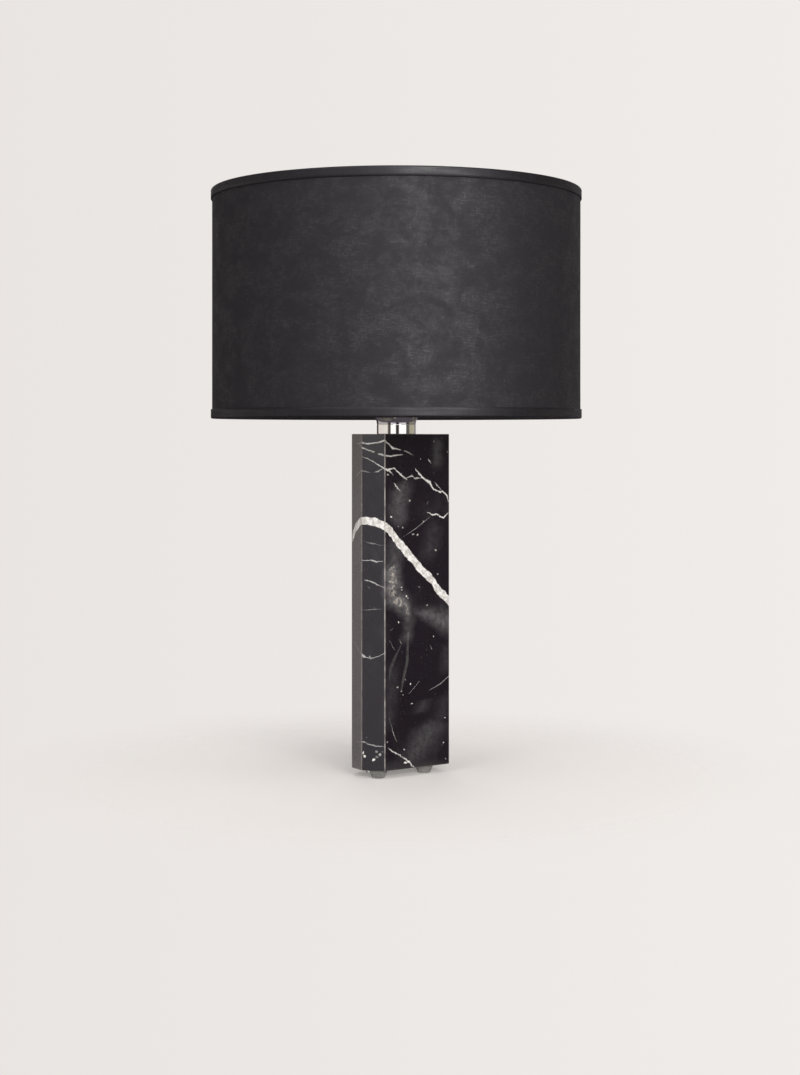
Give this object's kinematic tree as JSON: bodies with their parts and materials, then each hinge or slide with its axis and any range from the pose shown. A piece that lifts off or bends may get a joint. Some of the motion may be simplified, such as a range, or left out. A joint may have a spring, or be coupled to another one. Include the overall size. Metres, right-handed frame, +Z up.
{
  "type": "column table lamp",
  "caption": "Table lamp: black marble column with two chamfered edges, chrome neck, harp and a black fabric drum shade.",
  "frame": {"origin": "on the lamp's axis, at the bottom of the feet", "axes": "+Z up; +X along the column's long side, away from its chamfered end; the cord bushing faces +Y"},
  "size_m": [0.4, 0.4, 0.6443],
  "materials": {
    "black_marble": "polished black marble with white veins",
    "clear_bumper": "clear soft bumper",
    "polished_chrome": "polished",
    "zinc_steel": "zinc plated",
    "nickel": "nickel plated",
    "brass": "satin",
    "bulb_alloy": "rolled",
    "black_plastic": "moulded",
    "phenolic": "moulded",
    "fibre_sleeve": "pressed fibre",
    "bulb_glass": "clear",
    "filament_wire": "drawn",
    "painted_wire": "white enamel",
    "white_liner": "laminated sheet",
    "black_fabric": "plain woven",
    "black_tape": "woven tape"
  },
  "bodies": {
    "root": {"marble_column": "black_marble", "bumper_feet": "clear_bumper", "cord_bushing": "black_plastic", "lamp_rod": "zinc_steel", "bottom_washer": "zinc_steel", "bottom_nut": "zinc_steel", "neck_plate": "zinc_steel", "neck_tube": "polished_chrome", "neck_cup": "polished_chrome", "saddle_washer": "zinc_steel", "harp_saddle": "nickel", "harp": "nickel", "harp_stud": "zinc_steel", "socket_cap": "brass", "socket_shell": "brass", "socket_liner": "fibre_sleeve", "socket_body": "phenolic", "terminal_screws": "zinc_steel", "screw_shell": "brass", "centre_contact": "brass"},
    "shade": {"shade_spider": "painted_wire", "shade_top_ring": "painted_wire", "shade_bottom_ring": "painted_wire", "shade_liner": "white_liner", "shade_fabric": "black_fabric", "top_trim": "black_tape", "bottom_trim": "black_tape"},
    "finial": {"finial": "polished_chrome"},
    "switch": {"switch_cam": "black_plastic", "switch_stem": "brass", "switch_knob": "black_plastic"},
    "bulb": {"bulb_contact": "brass", "bulb_insulator": "black_plastic", "bulb_cap": "bulb_alloy", "bulb_glass": "bulb_glass", "bulb_stem": "bulb_glass", "bulb_filament": "filament_wire"},
    "left_sleeve": {"left_harp_sleeve": "nickel"},
    "right_sleeve": {"right_harp_sleeve": "nickel"}
  },
  "joints": [
    {"name": "shade_turn", "type": "hinge", "parent": "root", "child": "shade", "pos_m": [0, 0, 0.6165], "axis": [0, 0, 1], "continuous": true},
    {"name": "finial_turn", "type": "hinge", "parent": "root", "child": "finial", "pos_m": [0, 0, 0.6165], "axis": [0, 0, 1], "continuous": true},
    {"name": "switch_turn", "type": "hinge", "parent": "root", "child": "switch", "pos_m": [0, 0, 0.4223], "axis": [0, -1, 0], "continuous": true},
    {"name": "bulb_turn", "type": "hinge", "parent": "root", "child": "bulb", "pos_m": [0, 0, 0.4333], "axis": [0, 0, 1], "range_deg": [0, 900]},
    {"name": "left_sleeve_slide", "type": "slide", "parent": "root", "child": "left_sleeve", "axis": [0, 0, 1], "range_m": [0, 0.025]},
    {"name": "right_sleeve_slide", "type": "slide", "parent": "root", "child": "right_sleeve", "axis": [0, 0, 1], "range_m": [0, 0.025]}
  ]
}
